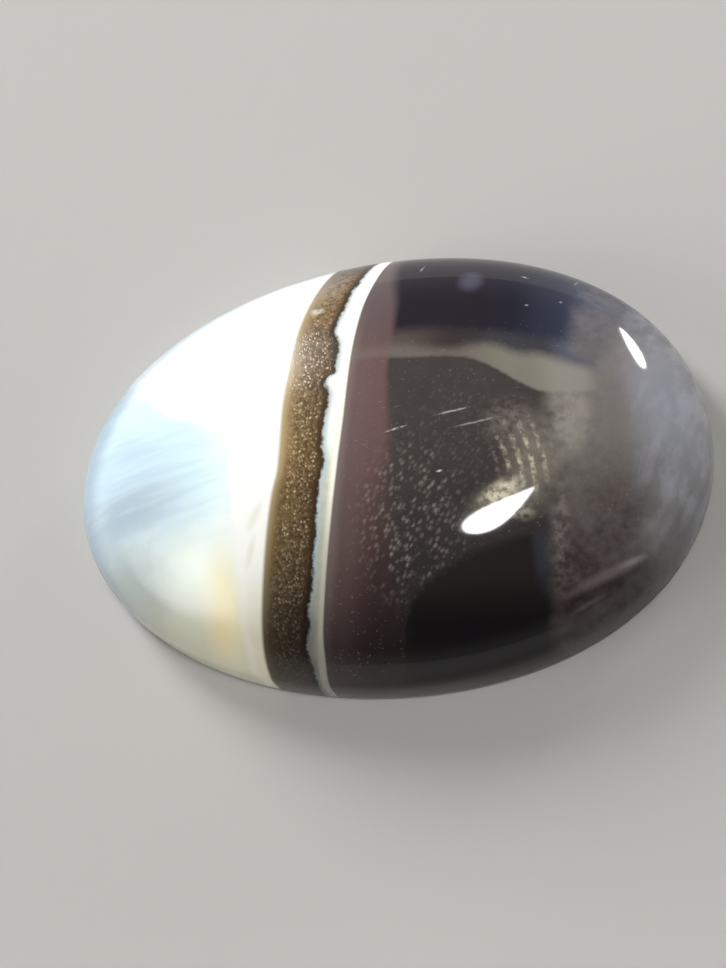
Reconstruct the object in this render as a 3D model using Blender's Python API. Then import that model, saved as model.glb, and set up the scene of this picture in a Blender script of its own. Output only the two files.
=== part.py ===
"""Oval cabochon cut from banded common opal, built as one solid stone.

The stone stands on its flat polished back. Its long axis is X, with the milky end at -X and the
cloudy end at +X. The origin lies on the back, under the middle of the stone. Units are metres.
"""

import math

import bmesh
import bpy

MM = 0.001

# Driving dimensions
LENGTH = 30.0 * MM          # along X
WIDTH = 21.2 * MM           # across, along Y, at the middle of the stone
GIRDLE_HEIGHT = 1.4 * MM    # upright wall under the dome, with the back's bevel in it
DOME_RISE = 5.5 * MM        # from the girdle to the crown
BACK_BEVEL = 0.4 * MM       # worn, slightly rounded edge round the flat back

# How the hand-shaped outline departs from a plain ellipse
END_TAPER = 0.045           # the +X half is fuller and the -X half is slimmer by this share
END_FULLNESS = 0.045        # both ends are squarer than an ellipse by this share

# Facets of the solid
SIDES = 96
DOME_RINGS = 20
BEVEL_STEPS = 2
SMOOTH_ANGLE = math.radians(40.0)
WELD = 1.0e-7

# Banded opal: milky, brown and smoky layers average to a dark mauve grey
STONE_COLOUR = (0.19, 0.16, 0.155, 1.0)
STONE_ROUGHNESS = 0.12
STONE_IOR = 1.45


def clear_scene():
    """Remove every object that the file opened with."""
    for obj in list(bpy.data.objects):
        bpy.data.objects.remove(obj, do_unlink=True)


def stone_material():
    """Polished opal: a glassy, non-metallic surface."""
    material = bpy.data.materials.new("polished_banded_opal")
    material.use_nodes = True
    shader = material.node_tree.nodes["Principled BSDF"]
    shader.inputs["Base Color"].default_value = STONE_COLOUR
    shader.inputs["Roughness"].default_value = STONE_ROUGHNESS
    shader.inputs["Metallic"].default_value = 0.0
    shader.inputs["IOR"].default_value = STONE_IOR
    material.diffuse_color = STONE_COLOUR
    return material


def meridian():
    """Half section of the stone, from the foot of the girdle to the crown.

    The radius runs from 1 at the girdle to 0 at the crown. The heights are real ones.
    """
    points = [(1.0, 0.0)]
    for ring in range(DOME_RINGS + 1):
        angle = 0.5 * math.pi * ring / DOME_RINGS
        radius = math.cos(angle) if ring < DOME_RINGS else 0.0
        points.append((radius, GIRDLE_HEIGHT + DOME_RISE * math.sin(angle)))
    return points


def plan(u, v):
    """Carry a point of the unit disc to the stone's oval plan."""
    x = 0.5 * LENGTH * u
    y = 0.5 * WIDTH * v * (1.0 + END_TAPER * u + END_FULLNESS * u * u)
    return x, y


def turn_meridian(mesh):
    """Spin the half section into a round dome that is open underneath."""
    verts = [mesh.verts.new((radius, 0.0, height)) for radius, height in meridian()]
    edges = [mesh.edges.new(pair) for pair in zip(verts[:-1], verts[1:])]
    bmesh.ops.spin(
        mesh,
        geom=verts + edges,
        cent=(0.0, 0.0, 0.0),
        axis=(0.0, 0.0, 1.0),
        dvec=(0.0, 0.0, 0.0),
        angle=2.0 * math.pi,
        steps=SIDES,
        use_merge=True,
        use_duplicate=False,
    )
    bmesh.ops.remove_doubles(mesh, verts=mesh.verts, dist=WELD)


def shape_plan(mesh):
    """Turn the round dome into the oval one."""
    for vert in mesh.verts:
        vert.co.x, vert.co.y = plan(vert.co.x, vert.co.y)


def close_back(mesh):
    """Close the underside with one flat face and soften its edge."""
    rim = [edge for edge in mesh.edges if edge.is_boundary]
    bmesh.ops.edgeloop_fill(mesh, edges=rim)
    bmesh.ops.bevel(
        mesh,
        geom=rim,
        offset=BACK_BEVEL,
        offset_type="OFFSET",
        affect="EDGES",
        segments=BEVEL_STEPS,
        profile=0.5,
        clamp_overlap=True,
        material=-1,
    )
    bmesh.ops.recalc_face_normals(mesh, faces=mesh.faces)


def build_cabochon():
    """Model the stone: turned dome, oval plan, flat bevelled back."""
    mesh = bmesh.new()
    turn_meridian(mesh)
    shape_plan(mesh)
    close_back(mesh)
    data = bpy.data.meshes.new("cabochon")
    mesh.to_mesh(data)
    mesh.free()
    data.shade_smooth()
    data.set_sharp_from_angle(angle=SMOOTH_ANGLE)
    data.materials.append(stone_material())
    stone = bpy.data.objects.new("cabochon", data)
    bpy.context.scene.collection.objects.link(stone)
    return stone


clear_scene()
build_cabochon()
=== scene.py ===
"""Looks of a banded common opal cabochon: its fine surface, its layered stone and a plain studio.

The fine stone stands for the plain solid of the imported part. Lengths are metres. The pattern of the
stone is laid out in millimetres from the middle of its flat back, with X along the stone.
"""

import math

import bmesh
import bpy
from bpy.props import FloatProperty, FloatVectorProperty, IntProperty, PointerProperty
from mathutils import Matrix, Vector, noise


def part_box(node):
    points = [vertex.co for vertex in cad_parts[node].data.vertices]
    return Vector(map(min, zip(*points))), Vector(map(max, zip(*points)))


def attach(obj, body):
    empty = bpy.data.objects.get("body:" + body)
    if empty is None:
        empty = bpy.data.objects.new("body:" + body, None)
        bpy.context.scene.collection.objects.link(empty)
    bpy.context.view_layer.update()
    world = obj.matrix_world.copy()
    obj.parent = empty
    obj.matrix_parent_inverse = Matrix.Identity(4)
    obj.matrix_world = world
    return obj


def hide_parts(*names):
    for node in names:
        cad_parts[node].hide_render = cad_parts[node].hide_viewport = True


bl_info = {
    "name": "Banded Opal Cabochon",
    "version": (1, 0, 0),
    "blender": (4, 5, 0),
    "location": "View3D > Sidebar > Cabochon",
    "description": "Builds a polished cabochon of banded common opal and a plain studio for it",
    "category": "Add Mesh",
}

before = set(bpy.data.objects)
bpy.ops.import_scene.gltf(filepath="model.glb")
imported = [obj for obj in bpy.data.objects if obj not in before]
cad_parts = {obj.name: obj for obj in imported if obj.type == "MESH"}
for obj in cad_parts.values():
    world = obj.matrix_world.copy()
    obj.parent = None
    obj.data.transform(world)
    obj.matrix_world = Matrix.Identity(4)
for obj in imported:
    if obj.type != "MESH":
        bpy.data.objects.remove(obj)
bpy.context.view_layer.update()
STONE_LOW, STONE_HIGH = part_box("cabochon")

MM = 0.001

# The photograph's frame and the camera that fits it
IMAGE_WIDTH = 726
IMAGE_HEIGHT = 968
FOCAL_PIXELS = 2383.0
SENSOR = 36.0
CAMERA_AZIMUTH = math.radians(30.0)
CAMERA_ELEVATION = math.radians(65.0)
CAMERA_ROLL = math.radians(-33.6)
CAMERA_REACH = 110.0 * MM
CAMERA_AIM_HEIGHT = 3.0 * MM
CAMERA_SLIDE_RIGHT = -18.7      # pixels by which the aim leaves the middle of the stone
CAMERA_SLIDE_UP = -23.4
CAMERA_NEAR = 0.01              # nearest and farthest that the camera sees
CAMERA_FAR = 10.0

# Details of the stone's mesh
WELD = 1.0e-7
BEVEL_STEPS = 6
POLISH_WAVE = 5.5 * MM          # length of the waves that hand polishing leaves

# Polished opal: its IOR, how deep light wanders in its milky layers and how far each colour goes
OPAL_IOR = 1.45
INNER_LIGHT_DEPTH = 1.0 * MM
INNER_LIGHT_SPREAD = (1.0, 0.9, 0.8)

# Plain floor of the studio and its surroundings
FLOOR_HALF_SIZE = 1.5
FLOOR_GAP = 0.02 * MM           # between the stone's back and the floor
FLOOR_ROUGHNESS = 0.9
HORIZON_TOP = 0.35              # share of the way up at which the glow of the horizon ends


def linear(code):
    """An sRGB hex colour such as #F4F1E8 as linear red, green and blue."""
    parts = [int(code[i:i + 2], 16) / 255.0 for i in (1, 3, 5)]
    return tuple(p / 12.92 if p <= 0.04045 else ((p + 0.055) / 1.055) ** 2.4 for p in parts)


# Room above and below a curve's points, so that nothing of it is cut off
CURVE_MARGIN = 1.0


def draw_curve(mapping, points):
    """Lead a curve through the points, smooth between them and level beyond its ends."""
    places = [point[0] for point in points]
    heights = [point[1] for point in points]
    mapping.extend = "HORIZONTAL"
    mapping.clip_min_x = places[0]
    mapping.clip_max_x = places[-1]
    mapping.clip_min_y = min(heights) - CURVE_MARGIN
    mapping.clip_max_y = max(heights) + CURVE_MARGIN
    knots = mapping.curves[0].points
    while len(knots) < len(points):
        knots.new(0.0, 0.0)
    for knot, point in zip(knots, points):
        knot.location = point
        knot.handle_type = "AUTO_CLAMPED"
    mapping.update()


def add(tree, kind, values=(), curve=(), **settings):
    """Add a node, set it up, fill its inputs in order or by name, and return its first output.

    A value that is another node's output is linked.
    """
    node = tree.nodes.new(kind)
    for name, setting in settings.items():
        setattr(node, name, setting)
    if curve:
        draw_curve(node.mapping, curve)
    usable = [socket for socket in node.inputs if socket.enabled]
    pairs = values.items() if isinstance(values, dict) else enumerate(values)
    for key, value in pairs:
        socket = node.inputs[key] if isinstance(key, str) else usable[key]
        if isinstance(value, bpy.types.NodeSocket):
            tree.links.new(value, socket)
        else:
            socket.default_value = value
    return next(socket for socket in node.outputs if socket.enabled)


class CabochonSizes(bpy.types.PropertyGroup):
    """Sizes of the fine stone."""

    length: FloatProperty(
        name="Length", description="Length of the stone along X", unit="LENGTH",
        default=STONE_HIGH.x - STONE_LOW.x, min=0.01,
    )
    width: FloatProperty(
        name="Width", description="Width of the stone at its middle", unit="LENGTH",
        default=21.198 * MM, min=0.005,
    )
    height: FloatProperty(
        name="Height", description="Height from the flat back to the crown", unit="LENGTH",
        default=STONE_HIGH.z - STONE_LOW.z, min=0.002,
    )
    girdle: FloatProperty(
        name="Girdle", description="Height of the upright wall under the dome", unit="LENGTH",
        default=1.4 * MM, min=0.0005,
    )
    bevel: FloatProperty(
        name="Back Bevel", description="Width of the rounded edge of the back", unit="LENGTH",
        default=0.4 * MM, min=0.0,
    )
    taper: FloatProperty(
        name="End Taper", description="How much fuller the cloudy half is", default=0.045,
        subtype="FACTOR", min=0.0, max=0.3,
    )
    fullness: FloatProperty(
        name="End Fullness", description="How much squarer than an ellipse the ends are",
        default=0.045, subtype="FACTOR", min=0.0, max=0.3,
    )
    ripple: FloatProperty(
        name="Polish Ripple", description="Depth of the waves that hand polishing leaves",
        default=0.012 * MM, unit="LENGTH", min=0.0,
    )
    sides: IntProperty(name="Sides", description="Steps round the outline", default=320, min=32)
    rings: IntProperty(name="Rings", description="Steps up the dome", default=110, min=8)


class OpalColours(bpy.types.PropertyGroup):
    """Main colours of the stone's layers."""

    blue_milk: FloatVectorProperty(
        name="Blue Milk", description="Bluish opal at the milky end", subtype="COLOR",
        default=linear("#C2D7E2"),
    )
    milk: FloatVectorProperty(
        name="Milk", description="White opal next to the brown layer", subtype="COLOR",
        default=linear("#FBFBF4"),
    )
    matrix: FloatVectorProperty(
        name="Matrix", description="Brown grainy layer", subtype="COLOR",
        default=linear("#836B49"),
    )
    seam: FloatVectorProperty(
        name="Seam", description="White seam", subtype="COLOR", default=linear("#F1F4EE"),
    )
    mauve: FloatVectorProperty(
        name="Mauve", description="Mauve layer beside the seam", subtype="COLOR",
        default=linear("#6E5A57"),
    )
    smoke: FloatVectorProperty(
        name="Smoke", description="Smoky body", subtype="COLOR", default=linear("#443E3C"),
    )
    night: FloatVectorProperty(
        name="Night", description="Blue-black part of the body", subtype="COLOR",
        default=linear("#252129"),
    )
    cloud: FloatVectorProperty(
        name="Cloud", description="Grey cloudy end", subtype="COLOR", default=linear("#7C7672"),
    )


class StageLooks(bpy.types.PropertyGroup):
    """Floor and light of the studio."""

    floor: FloatVectorProperty(
        name="Floor", description="Pale floor", subtype="COLOR", default=linear("#B6B4B0"),
    )
    lamps: FloatProperty(
        name="Lamps", description="Brightness of all lamps together", default=1.0, min=0.0,
    )
    sky: FloatProperty(
        name="Sky", description="Brightness of the dim surroundings", default=0.1, min=0.0,
    )
    horizon: FloatProperty(
        name="Horizon", description="Brightness of the surroundings at floor level",
        default=0.3, min=0.0,
    )


# Shape of the stone

def meridian(sizes):
    """Half section from the foot of the girdle to the crown, with radius 1 at the girdle."""
    rise = sizes.height - sizes.girdle
    points = [(1.0, 0.0)]
    for ring in range(sizes.rings + 1):
        angle = 0.5 * math.pi * ring / sizes.rings
        radius = math.cos(angle) if ring < sizes.rings else 0.0
        points.append((radius, sizes.girdle + rise * math.sin(angle)))
    return points


def shape_plan(mesh, sizes):
    """Carry the round dome to the stone's oval plan, fuller at the cloudy end."""
    for vert in mesh.verts:
        u = vert.co.x
        swell = 1.0 + sizes.taper * u + sizes.fullness * u * u
        vert.co.x = 0.5 * sizes.length * u
        vert.co.y *= 0.5 * sizes.width * swell


def close_back(mesh, sizes):
    """Close the underside flat, round its edge, and keep a flat field inside the edge."""
    rim = [edge for edge in mesh.edges if edge.is_boundary]
    bmesh.ops.edgeloop_fill(mesh, edges=rim)
    bmesh.ops.bevel(
        mesh, geom=rim, offset=sizes.bevel, offset_type="OFFSET", affect="EDGES",
        segments=BEVEL_STEPS, profile=0.5, clamp_overlap=True, material=-1,
    )
    back = max(mesh.faces, key=lambda face: len(face.verts))
    bmesh.ops.inset_individual(mesh, faces=[back], thickness=sizes.bevel, use_even_offset=True)


def ripple_dome(mesh, sizes):
    """Sink the dome by the long shallow waves that polishing by hand leaves."""
    mesh.normal_update()
    for vert in mesh.verts:
        if vert.co.z > sizes.girdle:
            swing = 0.5 + 0.5 * noise.noise(vert.co / POLISH_WAVE)
            vert.co -= vert.normal * sizes.ripple * swing


def stone_mesh(sizes):
    """Spin the half section, shape its plan, close the back and recalculate the normals."""
    mesh = bmesh.new()
    verts = [mesh.verts.new((radius, 0.0, height)) for radius, height in meridian(sizes)]
    edges = [mesh.edges.new(pair) for pair in zip(verts[:-1], verts[1:])]
    bmesh.ops.spin(
        mesh, geom=verts + edges, cent=(0.0, 0.0, 0.0), axis=(0.0, 0.0, 1.0),
        dvec=(0.0, 0.0, 0.0), angle=2.0 * math.pi, steps=sizes.sides, use_merge=True,
        use_duplicate=False,
    )
    bmesh.ops.remove_doubles(mesh, verts=mesh.verts, dist=WELD)
    shape_plan(mesh, sizes)
    close_back(mesh, sizes)
    bmesh.ops.recalc_face_normals(mesh, faces=mesh.faces)
    ripple_dome(mesh, sizes)
    data = bpy.data.meshes.new("banded_opal_stone")
    mesh.to_mesh(data)
    mesh.free()
    data.shade_smooth()
    return data


# Pattern of the stone. Places and sizes are millimetres, seen from above.

# A size so large that a pattern is the same from the crown down to the back
THROUGH = 1000.0

# Height above the back at which the scratches and the smudge begin, and how softly
DOME_FOOT = 0.9
DOME_FOOT_SOFTNESS = 0.3

# Bend of the seam: its x at a given y, as a cubic from the highest power down
SEAM_BEND = (0.0005, -0.0015, 0.115, -1.0)

# Edges of the upright layers, as (y, distance from the seam's bend)
BROWN_EDGE = ((-9.6, -2.95), (-8.5, -3.08), (-6.0, -3.14), (-2.6, -3.02), (-1.2, -2.84),
              (2.0, -2.93), (5.0, -2.9), (7.0, -2.75), (9.6, -2.4))
SEAM_LEFT = ((-9.8, -0.55), (-9.2, -0.86), (-8.5, -0.78), (-7.7, -0.84), (-6.8, -0.75),
             (-4.5, -0.74), (-2.5, -0.78), (-1.5, -0.62), (-0.4, -0.78), (0.5, -0.8),
             (1.9, -0.72), (2.65, -1.02), (3.1, -0.6), (4.6, -0.66), (5.4, -1.02),
             (6.5, -0.84), (7.6, -0.76), (8.5, -0.58), (9.8, -0.45))
SEAM_RIGHT = ((-9.6, 0.0), (-8.5, -0.12), (-6.5, -0.13), (-3.5, -0.08), (-1.5, -0.02),
              (1.0, 0.05), (4.5, 0.0), (6.5, 0.02), (8.5, 0.17), (9.8, 0.25))

# Edges of the upright layers, as (y, x)
MAUVE_EDGE = ((-10.0, 1.0), (-4.0, 1.0), (0.0, 1.2), (2.5, 1.15), (4.0, 1.3), (5.5, 1.43),
              (6.5, 1.46), (7.5, 1.32), (8.5, 1.22), (10.5, 1.15))
MAUVE_HAZE = ((-5.0, 0.9), (-1.0, 0.45), (1.0, 0.28), (3.0, 0.2), (5.0, 0.2), (6.5, 0.3),
              (8.0, 0.4))
CLOUD_EDGE = ((-10.0, 7.6), (-6.0, 8.0), (-3.4, 8.3), (-2.4, 8.9), (-1.0, 9.9), (0.0, 10.2),
              (2.6, 10.2), (3.3, 9.6), (4.2, 9.3), (5.0, 9.4), (5.8, 9.5), (7.2, 9.8),
              (10.0, 10.2))

# Edges that run along the smoky body, as (x, y)
OLIVE_TOP = ((1.0, 4.9), (3.1, 4.9), (4.5, 4.75), (5.8, 4.55), (7.2, 4.3), (8.2, 4.0),
             (10.3, 3.8))
STREAK_TOP = ((-1.0, 4.3), (2.0, 4.08), (3.5, 3.74), (4.3, 3.7), (5.0, 3.85), (6.0, 3.75),
              (7.0, 3.32), (8.0, 3.18), (9.0, 2.8), (10.3, 2.4))
STREAK_LOW = ((-1.0, 3.75), (2.0, 3.42), (4.6, 3.22), (5.6, 2.8), (6.4, 2.25), (7.0, 1.82),
              (8.0, 1.3), (9.0, 1.2), (10.6, 1.3))
WINDOW_TOP = ((0.8, -10.4), (1.1, -9.3), (1.4, -8.3), (2.0, -7.4), (3.1, -6.6), (4.5, -5.95),
              (6.3, -5.4), (8.0, -5.0))

# Painted shade on each layer from the near side to the far side, as (y, share of its colour kept)
BROWN_PAINTED_SHADE = ((-9.5, 0.1), (-8.5, 0.14), (-7.5, 0.21), (-6.5, 0.32), (-4.5, 0.53), (-2.5, 0.63),
              (-0.5, 0.78), (1.5, 0.74), (2.5, 0.7), (3.5, 0.7), (4.5, 0.56), (5.5, 0.58),
              (6.5, 0.66), (7.5, 0.7), (8.5, 0.56), (9.5, 0.32))
SEAM_PAINTED_SHADE = ((-9.5, 0.36), (-8.5, 0.48), (-6.5, 0.66), (-4.5, 0.84), (-2.5, 1.0))
MAUVE_PAINTED_SHADE = ((-9.5, 0.19), (-8.5, 0.31), (-7.5, 0.45), (-5.5, 0.66), (-3.5, 0.76), (-1.5, 0.88),
              (0.5, 0.93), (3.0, 0.91), (6.5, 0.74), (9.0, 0.82))

# Natural unevenness: size of one grain along X, Y and Z, turn about Z in degrees, and detail
GRAINS = {
    # Clouds about a millimetre across
    "fog": ((1.1, 1.1, 1.4), 0.0, 4.0),
    # Feathering about half a millimetre wide
    "feather": ((4.0, 0.5, 3.0), 5.0, 4.0),
    # Wisps two millimetres long
    "wisp": ((0.8, 2.2, 1.6), -20.0, 4.0),
    # Teeth of broken edges
    "ragged": ((0.4, 0.4, 0.4), 0.0, 3.0),
    # Silt of a few hundredths of a millimetre, too fine to show, so it is drawn coarser
    "grit": ((0.17, 0.17, 0.17), 0.0, 2.0),
}
GRAIN_ROUGHNESS = 0.55

# Scattered dots: mean spacing along X, Y and Z, turn about Z in degrees, disorder, the reach and
# softness of one dot as shares of the spacing, and the share of the faintest dot
DOTS = {
    # Sand grains about a tenth of a millimetre across
    "sand": ((0.13, 0.17, 0.15), 20.0, 1.0, 0.32, 0.24, 0.05),
    # Dots of the smudge, in loose rows
    "skin": ((0.2, 0.33, THROUGH), -38.0, 0.9, 0.3, 0.3, 0.2),
}
DOT_SHAKE = 0.16                # how far the grit pushes the dots out of round

# Arcs of the smudge: middle of their circles and distance from arc to arc
ARC_MIDDLE = (-1.0, -3.5)
ARC_SPACING = 0.52

# Scratches and specks of the polish: middle, half length, turn in degrees and strength
MARK_HALF_WIDTH = 0.075
MARKS = (
    ((1.54, -0.14), 0.68, 13.0, 0.6),
    ((4.1, 0.5), 1.05, 10.0, 0.5),
    ((5.1, -0.1), 1.4, 11.0, 0.35),
    ((2.45, 8.9), 0.35, 72.0, 0.4),
    ((7.25, 7.9), 0.28, -25.0, 0.45),
    ((9.5, 7.7), 0.3, 70.0, 0.3),
    ((3.39, -2.28), 0.2, 10.0, 0.9),
    ((7.4, 6.0), 0.12, 0.0, 0.4),
    ((8.9, 6.2), 0.12, 0.0, 0.35),
    ((1.85, -5.5), 0.3, 40.0, 0.25),
)

# Finish of each layer: roughness, share of inner light, and share of the sand's relief
MILKY_FINISH = (0.09, 0.5, 0.0)
BROWN_FINISH = (0.2, 0.0, 1.0)
SEAM_FINISH = (0.16, 0.4, 0.1)
SMOKY_FINISH = (0.05, 0.05, 0.0)
CLOUDY_FINISH = (0.07, 0.2, 0.0)
RELIEF_DEPTH = 0.006 * MM       # how far the sand grains stand out of the polish


def pass_edge(tree, value, edge, softness, strength=1.0):
    """Share that has passed an edge: 0 before it and full after it.

    A negative softness turns it round: full before the edge and 0 after it.
    """
    gap = add(tree, "ShaderNodeMath", (value, edge), operation="SUBTRACT")
    return add(
        tree, "ShaderNodeMapRange", (gap, -softness, softness, 0.0, strength),
        interpolation_type="SMOOTHSTEP",
    )


def overlap(tree, *shares):
    """Share where all the shares meet."""
    both = shares[0]
    for share in shares[1:]:
        both = add(tree, "ShaderNodeMath", (both, share), operation="MULTIPLY")
    return both


def patch(tree, place, middle, half, turn=0.0, strength=1.0, core=0.2):
    """Share of a soft oval patch: full in its core and gone at its half sizes."""
    local = add(
        tree, "ShaderNodeMapping",
        {
            "Vector": place,
            "Location": (middle[0], middle[1], 0.0),
            "Rotation": (0.0, 0.0, math.radians(turn)),
            "Scale": (half[0], half[1], THROUGH),
        },
        vector_type="TEXTURE",
    )
    reach = add(tree, "ShaderNodeVectorMath", (local,), operation="LENGTH")
    return add(
        tree, "ShaderNodeMapRange", (reach, 1.0, core, 0.0, strength),
        interpolation_type="SMOOTHSTEP",
    )


def tint(colour):
    """A hex code or a linear colour with its alpha. A node's output stays as it is."""
    if isinstance(colour, bpy.types.NodeSocket):
        return colour
    if isinstance(colour, str):
        colour = linear(colour)
    return (*colour, 1.0)


def paint(tree, base, coats):
    """Lay coats over a base in order. A coat is a share and a colour."""
    colour = tint(base)
    for share, coat in coats:
        colour = add(tree, "ShaderNodeMix", (share, colour, tint(coat)), data_type="RGBA")
    return colour


def dim(tree, colour, place, points):
    """Dim a colour by a curve over a coordinate, laying painted shade."""
    share = add(tree, "ShaderNodeFloatCurve", {"Value": place}, curve=points)
    return add(tree, "ShaderNodeVectorMath", {"Vector": colour, "Scale": share}, operation="SCALE")


def stray(tree, value, grain, amount):
    """Let a coordinate wander by a grain, up to about an amount either way.

    A grain's noise lies mostly between 0.2 and 0.8.
    """
    sway = add(tree, "ShaderNodeMapRange", (grain, 0.2, 0.8, -amount, amount), clamp=False)
    return add(tree, "ShaderNodeMath", (value, sway), operation="ADD")


def turned(tree, place, size, turn):
    """Place in a frame that is turned about Z and counts in its own sizes."""
    return add(
        tree, "ShaderNodeMapping",
        {"Vector": place, "Rotation": (0.0, 0.0, math.radians(turn)), "Scale": size},
        vector_type="TEXTURE",
    )


def survey(tree):
    """What the layers are drawn by, for each point of the stone.

    It holds the place in mm with its x and y, the distance from the seam's bend, the share on the
    dome, the grains and the dots.
    """
    whole = add(tree, "ShaderNodeTexCoord").node.outputs["Object"]
    place = add(tree, "ShaderNodeVectorMath", {"Vector": whole, "Scale": 1.0 / MM}, operation="SCALE")
    x, y, z = add(tree, "ShaderNodeSeparateXYZ", (place,)).node.outputs
    bend = SEAM_BEND[0]
    for term in SEAM_BEND[1:]:
        bend = add(tree, "ShaderNodeMath", (bend, y, term), operation="MULTIPLY_ADD")
    chart = {"place": place, "x": x, "y": y}
    chart["dome"] = pass_edge(tree, z, DOME_FOOT, DOME_FOOT_SOFTNESS)
    chart["from_seam"] = add(tree, "ShaderNodeMath", (x, bend), operation="SUBTRACT")
    for name, (size, turn, detail) in GRAINS.items():
        values = {
            "Vector": turned(tree, place, size, turn), "Scale": 1.0, "Detail": detail,
            "Roughness": GRAIN_ROUGHNESS,
        }
        chart[name] = add(tree, "ShaderNodeTexNoise", values)
    sway = chart["grit"].node.outputs["Color"]
    shaken = add(
        tree, "ShaderNodeVectorMath", (sway, (DOT_SHAKE, DOT_SHAKE, DOT_SHAKE), place),
        operation="MULTIPLY_ADD",
    )
    for name, (size, turn, disorder, edge, softness, least) in DOTS.items():
        values = {"Vector": turned(tree, shaken, size, turn), "Scale": 1.0, "Randomness": disorder}
        reach = add(tree, "ShaderNodeTexVoronoi", values)
        chance = add(tree, "ShaderNodeSeparateColor", (reach.node.outputs["Color"],))
        share = add(tree, "ShaderNodeMapRange", (chance, 0.0, 1.0, least, 1.0))
        chart[name] = overlap(tree, share, pass_edge(tree, reach, edge, -softness))
    return chart


def milky_end(tree, chart, colours):
    """Bluish feathered opal that meets clean white at a step, with creamy and grey patches, a painted
    highlight on the far side and painted shade along the rim and on the near side.
    """
    place, x, y, fog = chart["place"], chart["x"], chart["y"], chart["fog"]
    # Near side: greenish grey to cream, partly painted shade, with a beige bottom
    low = paint(tree, "#ACB5AF", (
        (pass_edge(tree, stray(tree, x, fog, 0.5), -10.2, 1.0), "#CFD9CE"),
        (pass_edge(tree, x, -8.9, 1.3), "#F6FBF0"),
        (pass_edge(tree, y, -6.6, -2.0, 0.8), "#C6BD9B"),
    ))
    step = stray(tree, x, fog, 0.3)
    cream = overlap(tree, pass_edge(tree, step, -6.3, 0.5), pass_edge(tree, y, -7.0, -2.6, 0.9))
    # Line beyond which the white is a painted highlight
    highlight_slope = add(tree, "ShaderNodeMath", (x, 0.74, y), operation="MULTIPLY_ADD")
    # Inner field; outside it the rim gets painted shade
    inside = patch(tree, place, (0.6, -1.2), (15.3, 11.6), 0.0, 1.0, 0.88)
    return paint(tree, colours.blue_milk, (
        # The blue pales towards the brown layer
        (pass_edge(tree, x, -8.8, 2.4), "#D9EFF2"),
        (pass_edge(tree, x, -7.3, 0.9, 0.8), "#ECF9F7"),
        # Grey streak, feathering and a brighter blue patch
        (patch(tree, place, (-11.9, -1.9), (4.2, 1.7), 5.0, 0.8), "#A9B8C3"),
        (pass_edge(tree, chart["feather"], 0.55, 0.14, 0.18), "#A9BBCA"),
        (pass_edge(tree, chart["feather"], 0.43, -0.14, 0.22), "#E2F2F6"),
        (patch(tree, place, (-10.8, 2.6), (2.8, 1.5), -20.0, 0.6), "#D5F2F8"),
        # Painted highlight: white on the far side, where the key lamp's reflection lies; greenish
        # cream on the near side, partly its own tint and partly painted shade
        (pass_edge(tree, stray(tree, highlight_slope, fog, 0.8), -4.2, 0.7, 0.9), "#F3FBFB"),
        (pass_edge(tree, stray(tree, y, fog, 0.5), -3.4, -1.6, 0.9), low),
        # Yellow patch before the step
        (patch(tree, place, (-7.0, -6.7), (1.6, 3.2), -4.0, 0.85, 0.0), "#FAF0C6"),
        (patch(tree, place, (-7.4, -7.9), (1.2, 1.3), 0.0, 0.5), "#E6D3A4"),
        # Clean white beyond the step, creamy near the rim, with two faint brownish marks
        (pass_edge(tree, step, -6.3, 0.35), colours.milk),
        (cream, "#D3CBB1"),
        (patch(tree, place, (-5.2, -3.4), (1.0, 0.3), 60.0, 0.35), "#D3D0BC"),
        (patch(tree, place, (-5.5, -4.9), (1.1, 0.25), 70.0, 0.3), "#CFCCB9"),
        # Painted shade: greyer towards the rim
        (pass_edge(tree, inside, 0.5, -0.5, 0.5), "#6F8093"),
    ))


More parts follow.
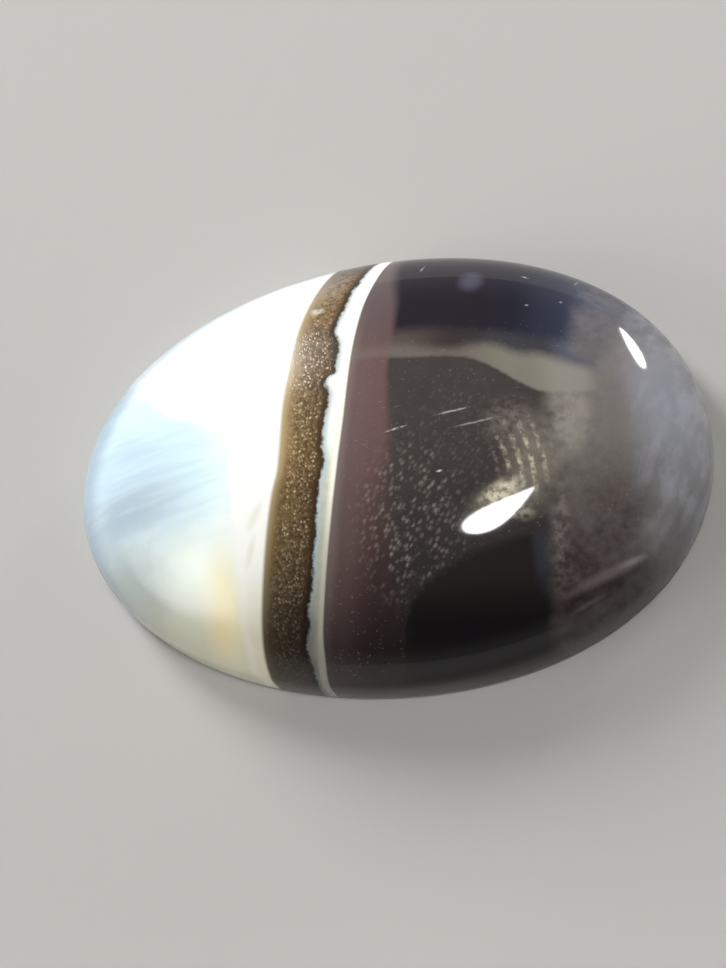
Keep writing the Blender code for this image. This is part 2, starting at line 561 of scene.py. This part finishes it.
def brown_layer(tree, chart, colours, edge, far_edge):
    """Translucent tan rim, then brown sandy opal that darkens towards the seam."""
    place, y, from_seam = chart["place"], chart["y"], chart["from_seam"]
    ragged, grit = chart["ragged"], chart["grit"]
    depth = add(tree, "ShaderNodeMath", (from_seam, edge), operation="SUBTRACT")
    gap = add(tree, "ShaderNodeMath", (far_edge, from_seam), operation="SUBTRACT")
    inner = overlap(tree, pass_edge(tree, depth, 0.5, 0.3), pass_edge(tree, gap, 0.35, 0.2))
    mottle = overlap(tree, inner, pass_edge(tree, y, 4.6, 1.6))
    near = overlap(tree, pass_edge(tree, depth, 0.4, 0.25), pass_edge(tree, y, -1.0, -0.6, 0.7))
    far = overlap(tree, pass_edge(tree, gap, 0.65, 0.35), pass_edge(tree, y, 7.3, 1.2, 0.75))
    fewer = add(
        tree, "ShaderNodeMapRange", (y, 3.5, 6.5, 1.0, 0.45), interpolation_type="SMOOTHSTEP",
    )
    blotch = overlap(
        tree, patch(tree, place, (-2.35, 6.75), (0.44, 0.36), 0.0, 0.9, 0.3),
        pass_edge(tree, ragged, 0.42, 0.14),
    )
    brown = paint(tree, "#CBB68C", (
        # From the tan rim inwards
        (pass_edge(tree, depth, 0.22, 0.25), "#A78A5A"),
        (pass_edge(tree, depth, 0.75, 0.5), colours.matrix),
        (near, colours.matrix),
        # Darker towards the seam
        (pass_edge(tree, gap, 0.9, -0.5, 0.9), "#6B5237"),
        (pass_edge(tree, gap, 0.32, -0.22, 0.9), "#463524"),
        # Reddish mottles and a paler end on the far side
        (overlap(tree, pass_edge(tree, ragged, 0.5, 0.1, 0.5), mottle), "#BE9562"),
        (overlap(tree, pass_edge(tree, chart["fog"], 0.58, 0.1, 0.4), mottle), "#BFA087"),
        (far, "#B3A599"),
        # Silt, one pale blotch and the sand, which thins out on the far side
        (overlap(tree, pass_edge(tree, ragged, 0.46, -0.12, 0.35), inner), "#57452C"),
        (overlap(tree, pass_edge(tree, grit, 0.54, 0.1, 0.3), inner), "#AE8D5F"),
        (overlap(tree, pass_edge(tree, grit, 0.45, -0.1, 0.5), inner), "#4A3924"),
        (blotch, "#E6DCCB"),
        (overlap(tree, inner, fewer, chart["sand"]), "#E4D0AC"),
    ))
    # Painted shade along y, darkest at the near side
    return dim(tree, brown, y, BROWN_PAINTED_SHADE)


def white_seam(tree, chart, colours, edge):
    """White opal, greenish grey in its near half partly as painted shade, with a clean cream line
    along its right side.
    """
    y, from_seam = chart["y"], chart["from_seam"]
    depth = add(tree, "ShaderNodeMath", (from_seam, edge), operation="SUBTRACT")
    near = pass_edge(tree, y, -1.4, -1.2)
    line = pass_edge(tree, from_seam, -0.3, 0.14)
    stain = overlap(tree, pass_edge(tree, depth, 0.3, -0.25), pass_edge(tree, y, -7.6, -0.8, 0.5))
    white = paint(tree, colours.seam, (
        # Near half greenish grey: partly its own tint, partly painted shade
        (near, "#CFD1BF"),
        (overlap(tree, near, pass_edge(tree, chart["ragged"], 0.52, 0.12, 0.4)), "#B4BAAA"),
        # Bluish and thin along the ragged edge, and stained brown at the near end
        (pass_edge(tree, depth, 0.16, -0.16, 0.8), "#B4BFC0"),
        (overlap(tree, near, pass_edge(tree, depth, 0.12, -0.12, 0.7)), "#CAD8DC"),
        (stain, "#857B66"),
        # Cream line
        (line, "#FBF9EA"),
        (overlap(tree, line, pass_edge(tree, y, -4.0, -2.0, 0.8)), "#E3DCC8"),
    ))
    # Painted shade along y, darkest at the near side
    return dim(tree, white, y, SEAM_PAINTED_SHADE)


def mauve_layer(tree, chart, colours):
    """Mauve opal, greyer beside the seam and redder away from it, with the streak showing through and
    painted shade on the near side.
    """
    y, from_seam = chart["y"], chart["from_seam"]
    streak = overlap(tree, pass_edge(tree, y, 4.1, -0.45), pass_edge(tree, y, 3.6, 0.18, 0.45))
    painted_near_shade = overlap(tree, pass_edge(tree, from_seam, 1.6, 0.8), pass_edge(tree, y, -3.4, -4.0, 0.5))
    mauve = paint(tree, colours.mauve, (
        (pass_edge(tree, from_seam, 0.25, -0.3), "#83746F"),
        (pass_edge(tree, from_seam, 1.1, 0.4, 0.8), "#6B5351"),
        (pass_edge(tree, y, 5.5, 2.0, 0.7), "#6F6267"),
        (streak, "#84776F"),
        # Painted shade: near-black on the near side, away from the seam
        (painted_near_shade, "#1A1315"),
    ))
    # Painted shade along y, darkest at the near side
    return dim(tree, mauve, y, MAUVE_PAINTED_SHADE)


def smudge(tree, chart):
    """Greasy smudge on the polish, partly painted sheen: loose rows of fine dots, and broken arcs
    towards the cloudy end.
    """
    place = chart["place"]
    ring = add(
        tree, "ShaderNodeMapping",
        {
            "Vector": place,
            "Location": (*ARC_MIDDLE, 0.0),
            "Scale": (ARC_SPACING, ARC_SPACING, THROUGH),
        },
        vector_type="TEXTURE",
    )
    reach = add(tree, "ShaderNodeVectorMath", (ring,), operation="LENGTH")
    turns = stray(tree, reach, chart["fog"], 0.22)
    wave = add(tree, "ShaderNodeMath", (turns, 0.5), operation="PINGPONG")
    thick = patch(tree, place, (2.0, -4.1), (3.4, 4.7), -8.0, 1.0, 0.35)
    thin = patch(tree, place, (4.4, -0.8), (4.0, 4.6), 20.0, 0.25, 0.3)
    film = add(tree, "ShaderNodeMath", (thick, thin), operation="MAXIMUM")
    arcs = overlap(
        tree, pass_edge(tree, wave, 0.31, 0.13), pass_edge(tree, chart["ragged"], 0.48, 0.16),
        pass_edge(tree, chart["grit"], 0.46, 0.14),
        patch(tree, place, (7.1, -1.8), (1.6, 2.3), 8.0, 0.9, 0.3),
    )
    return overlap(tree, chart["skin"], film), arcs


def smoky_body(tree, chart, colours):
    """Smoky opal: a blue-black window, an olive band, a pale streak, smoke with a painted halo round
    the large glint, and a black window.
    """
    place, x, y, dome = chart["place"], chart["x"], chart["y"], chart["dome"]
    fog, ragged = chart["fog"], chart["ragged"]
    level = stray(tree, y, ragged, 0.06)
    olive_top, streak_top, streak_low, window_top = (
        add(tree, "ShaderNodeFloatCurve", {"Value": x}, curve=points)
        for points in (OLIVE_TOP, STREAK_TOP, STREAK_LOW, WINDOW_TOP)
    )
    # Bluer in steps towards the cloudy end, with one pale cloud
    window = paint(tree, colours.night, (
        (pass_edge(tree, x, 5.8, 0.25, 0.6), "#23242F"),
        (pass_edge(tree, x, 7.6, 1.0), "#303342"),
        (pass_edge(tree, x, 9.2, 0.8), "#3D4254"),
        (patch(tree, place, (4.8, 7.7), (0.8, 0.95), 0.0, 0.9, 0.2), "#4D4C59"),
    ))
    olive = paint(tree, "#534944", (
        (pass_edge(tree, x, 3.0, 1.2), "#383231"),
        (pass_edge(tree, x, 5.4, 0.8), "#3D3D42"),
        (pass_edge(tree, x, 8.6, 0.6), "#595B65"),
    ))
    streak = paint(tree, "#6A615B", (
        (pass_edge(tree, x, 5.4, 1.4), "#7D796D"),
        (pass_edge(tree, x, 8.2, 1.0), "#928D84"),
    ))
    haze = pass_edge(tree, fog, 0.36, 0.24)
    broken = pass_edge(tree, ragged, 0.46, 0.16)
    hollow = pass_edge(tree, ragged, 0.48, -0.1)
    # Painted highlight: halos where the smudge's grease catches the lamp round the large glint
    glow = patch(tree, place, (5.7, -3.7), (2.0, 1.0), 30.0, 0.5, 0.0)
    bright_painted_halo = patch(tree, place, (6.0, -3.4), (1.5, 0.65), 30.0, 1.0, 0.2)
    low_painted_halo = patch(tree, place, (6.9, -4.2), (0.8, 0.6), 0.0, 0.9, 0.1)
    smoke = paint(tree, colours.smoke, (
        (pass_edge(tree, fog, 0.5, 0.2, 0.3), "#4E4845"),
        # Haze that thickens towards the cloudy end, with darker hollows
        (overlap(tree, haze, patch(tree, place, (7.6, -2.1), (1.8, 2.9), 0.0, 0.9, 0.2)), "#8E877B"),
        (overlap(tree, haze, patch(tree, place, (9.3, -0.1), (1.7, 3.2), 0.0, 0.95, 0.3)), "#9E988E"),
        (overlap(tree, broken, patch(tree, place, (6.6, -0.1), (1.7, 1.6), 0.0, 0.4, 0.1)), "#9A9088"),
        (overlap(tree, hollow, patch(tree, place, (8.6, 0.0), (1.5, 2.6), 0.0, 0.3, 0.3)), "#625A54"),
        # Painted highlight: grease of the smudge lit round the large glint
        (overlap(tree, dome, glow), "#A89C86"),
        (overlap(tree, dome, broken, bright_painted_halo), "#FFF4D8"),
        (overlap(tree, dome, broken, low_painted_halo), "#C0B5A1"),
    ))
    # Brownish top, blue band at the right and a brownish right rim
    black = paint(tree, "#26221F", (
        (pass_edge(tree, y, -7.6, -1.2), "#0F0B0E"),
        (overlap(tree, pass_edge(tree, x, 7.25, 0.25, 0.7), pass_edge(tree, y, -7.0, 0.8)), "#3B3C49"),
        (pass_edge(tree, x, 7.85, 0.3, 0.8), "#463F3C"),
    ))
    return paint(tree, window, (
        (pass_edge(tree, level, olive_top, -0.45), olive),
        (pass_edge(tree, level, streak_top, -0.4), streak),
        # The smoke takes the mauve's painted shade along y
        (pass_edge(tree, level, streak_low, -0.12), dim(tree, smoke, y, MAUVE_PAINTED_SHADE)),
        (pass_edge(tree, level, window_top, -0.3), black),
    ))


def cloudy_end(tree, chart, colours):
    """Grey cloudy opal, brownish beside the dark body and bluish towards the far rim."""
    place, x, y, ragged = chart["place"], chart["x"], chart["y"], chart["ragged"]
    flecks = overlap(
        tree, pass_edge(tree, ragged, 0.52, 0.14, 0.5),
        patch(tree, place, (8.4, -5.0), (0.6, 3.3), -4.0, 1.0, 0.2),
    )
    lean = add(tree, "ShaderNodeMath", (x, -0.5, y), operation="MULTIPLY_ADD")
    # Painted shade below a slanting line
    below = overlap(tree, pass_edge(tree, lean, -11.95, -0.2), pass_edge(tree, x, 11.9, -0.7, 0.5))
    wisps = overlap(
        tree, pass_edge(tree, chart["wisp"], 0.54, 0.12, 0.3), pass_edge(tree, x, 11.9, 0.8),
        pass_edge(tree, y, -4.5, 2.5),
    )
    brownish = overlap(tree, pass_edge(tree, ragged, 0.5, 0.2), pass_edge(tree, x, 12.4, -1.2, 0.14))
    return paint(tree, colours.cloud, (
        # Paler towards the tip and browner towards the near side
        (pass_edge(tree, x, 12.2, 1.4), "#98989D"),
        (pass_edge(tree, y, -2.4, -2.2, 0.85), "#4C433E"),
        (pass_edge(tree, y, -5.3, -1.7, 0.85), "#342827"),
        (pass_edge(tree, x, 12.3, 1.0, 0.33), "#838386"),
        # Blue-grey on the far side
        (pass_edge(tree, y, 5.0, 1.8, 0.95), "#4C5162"),
        (patch(tree, place, (10.2, 3.9), (1.3, 2.5), 0.0, 0.5), "#4E4E57"),
        (pass_edge(tree, y, 6.9, 1.2), "#252835"),
        # Pale tip, clouds, wisps and flecks
        (patch(tree, place, (13.2, 1.0), (1.9, 3.6), 12.0, 0.55), "#A5A7B2"),
        (pass_edge(tree, chart["fog"], 0.55, 0.16, 0.1), "#B4B3B6"),
        (brownish, "#9A8C89"),
        (wisps, "#C4C6D0"),
        (flecks, "#948B86"),
        # Painted shade on the dark part below a slanting line, and a painted highlight along that line
        (below, "#1D1514"),
        (patch(tree, place, (10.2, -6.8), (2.5, 0.32), 26.6, 0.5, 0.1), "#8E8080"),
        (patch(tree, place, (11.3, -6.2), (0.9, 0.18), 26.6, 0.25, 0.1), "#C4BDC0"),
        (patch(tree, place, (9.2, -7.95), (1.3, 0.13), 28.0, 0.25, 0.1), "#7E7674"),
    ))


def opal_material(colours):
    """Polished banded common opal.

    Opal takes a glassy polish over a waxy, cloudy body: soft inner light in the milky layers, hardly
    any in the smoky ones, and a duller sandy layer of brown matrix that the wheel undercuts.
    """
    material = bpy.data.materials.new("polished_banded_common_opal")
    material.use_nodes = True
    tree = material.node_tree
    shader = tree.nodes["Principled BSDF"]
    chart = survey(tree)
    x, y, from_seam, grit = chart["x"], chart["y"], chart["from_seam"], chart["grit"]
    brown_edge, seam_left, seam_right, mauve_edge, mauve_haze, cloud_edge = (
        add(tree, "ShaderNodeFloatCurve", {"Value": y}, curve=points)
        for points in (BROWN_EDGE, SEAM_LEFT, SEAM_RIGHT, MAUVE_EDGE, MAUVE_HAZE, CLOUD_EDGE)
    )
    in_brown = pass_edge(tree, from_seam, brown_edge, 0.11)
    frayed = stray(tree, stray(tree, from_seam, chart["ragged"], 0.13), grit, 0.05)
    in_seam = pass_edge(tree, frayed, seam_left, 0.09)
    in_mauve = pass_edge(tree, from_seam, seam_right, 0.06)
    past_mauve = add(tree, "ShaderNodeMath", (x, mauve_edge), operation="SUBTRACT")
    mauve_start = add(tree, "ShaderNodeMath", (mauve_haze, -1.0), operation="MULTIPLY")
    in_smoke = add(
        tree, "ShaderNodeMapRange", (past_mauve, mauve_start, mauve_haze, 0.0, 1.0),
        interpolation_type="SMOOTHSTEP",
    )
    in_cloud = pass_edge(tree, stray(tree, x, chart["fog"], 0.25), cloud_edge, 0.5)
    window_top = add(tree, "ShaderNodeFloatCurve", {"Value": x}, curve=WINDOW_TOP)
    clear = overlap(tree, pass_edge(tree, y, window_top, 0.4), chart["dome"])
    specks = overlap(
        tree, in_mauve, clear, pass_edge(tree, y, 4.5, -1.5), pass_edge(tree, grit, 0.68, 0.06, 0.18),
    )
    dots, arcs = smudge(tree, chart)
    mark_grain = overlap(tree, pass_edge(tree, grit, 0.42, 0.1), chart["dome"])
    marks = [
        (overlap(
            tree, mark_grain,
            patch(tree, chart["place"], middle, (half, MARK_HALF_WIDTH), turn, strength, 0.1),
        ), "#E4DFD8")
        for middle, half, turn, strength in MARKS
    ]
    colour = paint(tree, milky_end(tree, chart, colours), (
        (in_brown, brown_layer(tree, chart, colours, brown_edge, seam_left)),
        (in_seam, white_seam(tree, chart, colours, seam_left)),
        (in_mauve, mauve_layer(tree, chart, colours)),
        (in_smoke, smoky_body(tree, chart, colours)),
        (in_cloud, cloudy_end(tree, chart, colours)),
        # Fine specks in the smoke, then what lies on the polish: the smudge, pale partly as painted
        # sheen where its grease catches the lamps, and the scratches
        (specks, "#A89F96"),
        (overlap(tree, dots, clear, in_mauve), "#8A8279"),
        (overlap(tree, arcs, clear), "#CFC3AB"),
        *marks,
    ))
    # Roughness, inner light and relief ride together as the three parts of one colour
    finish = paint(tree, MILKY_FINISH, (
        (in_brown, BROWN_FINISH),
        (in_seam, SEAM_FINISH),
        (in_mauve, SMOKY_FINISH),
        (in_cloud, CLOUDY_FINISH),
    ))
    roughness, glow, relief = add(tree, "ShaderNodeSeparateColor", (finish,)).node.outputs
    height = overlap(tree, relief, chart["sand"])
    bump = add(
        tree, "ShaderNodeBump", {"Height": height, "Distance": RELIEF_DEPTH, "Strength": 1.0},
    )
    looks = {
        "Base Color": colour, "Roughness": roughness, "Subsurface Weight": glow, "Normal": bump,
    }
    for name, value in looks.items():
        tree.links.new(value, shader.inputs[name])
    shader.inputs["IOR"].default_value = OPAL_IOR
    shader.inputs["Subsurface Scale"].default_value = INNER_LIGHT_DEPTH
    shader.inputs["Subsurface Radius"].default_value = INNER_LIGHT_SPREAD
    return material


# Studio

# Lamps: name, aimed at in mm, direction from there, way its long side runs, reach, long and short
# side in metres, share of its radius that is fully bright, taper, and brightness of its face
LAMPS = (
    ("key_softbox", (-7.5, 4.0, 4.5), (-0.54, 0.72, 0.43), (0.0, 0.0, 1.0),
     0.6, 0.42, 0.27, 0.6, 0.0, 22.6),
    ("fill_softbox", (-9.0, -5.0, 4.0), (-0.85, -0.3, 0.45), (0.0, 1.0, 0.0),
     0.8, 0.8, 0.7, 0.3, 0.0, 4.2),
    ("end_softbox", (13.0, -3.0, 3.0), (0.95, -0.2, 0.25), (0.0, 1.0, 0.0),
     0.7, 0.8, 0.7, 0.2, 0.0, 1.0),
    ("top_lamp", (6.0, -4.0, 6.0), (0.169, -0.091, 0.981), (0.2, 0.21, -0.02),
     0.3, 0.098, 0.0564, 0.95, 0.7, 43.0),
    ("side_lamp", (12.0, 3.6, 4.2), (0.572, 0.787, 0.23), (-0.15, 0.2, -0.22),
     0.3, 0.108, 0.04, 0.95, 0.4, 30.0),
)


def soften_lamp(light, core, taper):
    """Let a lamp's brightness fall off smoothly from its core to its rim.

    With a taper of 0 the rim is an oval. Towards 1 it becomes a drop with its point along +X.
    """
    light.use_nodes = True
    tree = light.node_tree
    # The lamp's own coordinates run from -1 to 1 across its face
    local = add(
        tree, "ShaderNodeMapping",
        {
            "Vector": add(tree, "ShaderNodeNewGeometry").node.outputs["Parametric"],
            "Location": (-1.0, -1.0, 0.0),
            "Scale": (2.0, 2.0, 0.0),
        },
    )
    along, across, _ = add(tree, "ShaderNodeSeparateXYZ", (local,)).node.outputs
    tip_width = (1.0 - taper) / (1.0 + taper)
    width = add(tree, "ShaderNodeMapRange", (along, -1.0, 1.0, 1.0, tip_width))
    widened = add(tree, "ShaderNodeMath", (across, width), operation="DIVIDE")
    drop = add(tree, "ShaderNodeCombineXYZ", (along, widened))
    reach = add(tree, "ShaderNodeVectorMath", (drop,), operation="LENGTH")
    share = add(
        tree, "ShaderNodeMapRange", (reach, 1.0, core, 0.0, 1.0), interpolation_type="SMOOTHSTEP",
    )
    tree.links.new(share, tree.nodes["Emission"].inputs["Strength"])


def hang_lamp(name, aim, direction, along, reach, long_side, short_side, core, taper, brightness):
    """Hang one soft oval or drop-shaped lamp that faces its aim."""
    back = Vector(direction).normalized()
    side = Vector(along)
    side = (side - back * side.dot(back)).normalized()
    light = bpy.data.lights.new(name, "AREA")
    light.shape = "ELLIPSE"
    light.size = long_side
    light.size_y = short_side
    # Watts that make the face this bright: pi times the brightness and the area of the oval
    light.energy = brightness * math.pi * (0.25 * math.pi * long_side * short_side)
    soften_lamp(light, core, taper)
    lamp = bpy.data.objects.new(name, light)
    lamp.matrix_world = Matrix.Translation(Vector(aim) * MM + back * reach) @ Matrix(
        (side, back.cross(side), back)
    ).transposed().to_4x4()
    lamp.visible_camera = False
    bpy.context.scene.collection.objects.link(lamp)


def lay_floor(colour):
    """Plain floor of matt pale board."""
    mesh = bmesh.new()
    bmesh.ops.create_grid(mesh, x_segments=1, y_segments=1, size=FLOOR_HALF_SIZE)
    data = bpy.data.meshes.new("floor")
    mesh.to_mesh(data)
    mesh.free()
    data.transform(Matrix.Translation((0.0, 0.0, -FLOOR_GAP)))
    material = bpy.data.materials.new("matt_pale_board")
    material.use_nodes = True
    shader = material.node_tree.nodes["Principled BSDF"]
    shader.inputs["Base Color"].default_value = (*colour, 1.0)
    shader.inputs["Roughness"].default_value = FLOOR_ROUGHNESS
    data.materials.append(material)
    floor = bpy.data.objects.new("floor", data)
    bpy.context.scene.collection.objects.link(floor)


def light_sky(sky, horizon):
    """Dim even light from all round, a little brighter at the level of the floor."""
    world = bpy.data.worlds.new("dim_surroundings")
    world.use_nodes = True
    tree = world.node_tree
    way = add(tree, "ShaderNodeTexCoord").node.outputs["Generated"]
    level = add(tree, "ShaderNodeSeparateXYZ", (way,)).node.outputs["Z"]
    strength = add(
        tree, "ShaderNodeMapRange", (level, 0.0, HORIZON_TOP, horizon, sky),
        interpolation_type="SMOOTHSTEP",
    )
    background = tree.nodes["Background"]
    background.inputs["Color"].default_value = (1.0, 1.0, 1.0, 1.0)
    tree.links.new(strength, background.inputs["Strength"])
    bpy.context.scene.world = world


def set_camera():
    """Place the camera where the photograph was taken from."""
    azimuth, elevation, roll = CAMERA_AZIMUTH, CAMERA_ELEVATION, CAMERA_ROLL
    back = Vector((
        math.sin(azimuth) * math.cos(elevation),
        -math.cos(azimuth) * math.cos(elevation),
        math.sin(elevation),
    ))
    level = Vector((math.cos(azimuth), math.sin(azimuth), 0.0))
    rise = back.cross(level)
    right = level * math.cos(roll) + rise * math.sin(roll)
    up = rise * math.cos(roll) - level * math.sin(roll)
    slide = (right * CAMERA_SLIDE_RIGHT + up * CAMERA_SLIDE_UP) * CAMERA_REACH / FOCAL_PIXELS
    aim = Vector((0.0, 0.0, CAMERA_AIM_HEIGHT)) + slide
    data = bpy.data.cameras.new("camera")
    data.sensor_width = SENSOR
    data.lens = FOCAL_PIXELS * SENSOR / max(IMAGE_WIDTH, IMAGE_HEIGHT)
    data.clip_start = CAMERA_NEAR
    data.clip_end = CAMERA_FAR
    camera = bpy.data.objects.new("camera", data)
    camera.matrix_world = Matrix.Translation(aim + back * CAMERA_REACH) @ Matrix(
        (right, up, back)
    ).transposed().to_4x4()
    bpy.context.scene.collection.objects.link(camera)
    bpy.context.scene.camera = camera


class CABOCHON_OT_build_stone(bpy.types.Operator):
    """Build the fine stone and its banded opal"""

    bl_idname = "cabochon.build_stone"
    bl_label = "Build Stone"

    def execute(self, context):
        scene = context.scene
        data = stone_mesh(scene.cabochon_sizes)
        data.materials.append(opal_material(scene.opal_colours))
        stone = bpy.data.objects.new("banded_opal_stone", data)
        scene.collection.objects.link(stone)
        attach(stone, "root")
        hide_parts("cabochon")
        return {"FINISHED"}


class CABOCHON_OT_set_stage(bpy.types.Operator):
    """Lay the floor, hang the lamps and place the camera"""

    bl_idname = "cabochon.set_stage"
    bl_label = "Set Stage"

    def execute(self, context):
        looks = context.scene.stage_looks
        lay_floor(looks.floor)
        light_sky(looks.sky, looks.horizon)
        for *place, brightness in LAMPS:
            hang_lamp(*place, brightness * looks.lamps)
        set_camera()
        context.scene.view_settings.view_transform = "Standard"
        return {"FINISHED"}


class CABOCHON_PT_panel(bpy.types.Panel):
    """Panel of the cabochon's operators, sizes and colours"""

    bl_idname = "CABOCHON_PT_panel"
    bl_label = "Cabochon"
    bl_space_type = "VIEW_3D"
    bl_region_type = "UI"
    bl_category = "Cabochon"

    def draw(self, context):
        layout = self.layout
        layout.operator(CABOCHON_OT_build_stone.bl_idname)
        layout.operator(CABOCHON_OT_set_stage.bl_idname)
        scene = context.scene
        for group in (scene.cabochon_sizes, scene.opal_colours, scene.stage_looks):
            box = layout.box()
            for name in group.__annotations__:
                box.prop(group, name)


GROUPS = (
    ("cabochon_sizes", CabochonSizes),
    ("opal_colours", OpalColours),
    ("stage_looks", StageLooks),
)
CLASSES = (
    CabochonSizes,
    OpalColours,
    StageLooks,
    CABOCHON_OT_build_stone,
    CABOCHON_OT_set_stage,
    CABOCHON_PT_panel,
)


def register():
    """Register the classes and give the scene their settings."""
    for kind in CLASSES:
        bpy.utils.register_class(kind)
    for name, group in GROUPS:
        setattr(bpy.types.Scene, name, PointerProperty(type=group))


def unregister():
    """Take the settings and the classes away again."""
    for name, _ in reversed(GROUPS):
        delattr(bpy.types.Scene, name)
    for kind in reversed(CLASSES):
        bpy.utils.unregister_class(kind)


def main():
    """Build the stone and its studio."""
    register()
    bpy.ops.cabochon.build_stone()
    bpy.ops.cabochon.set_stage()


if __name__ == "__main__":
    main()
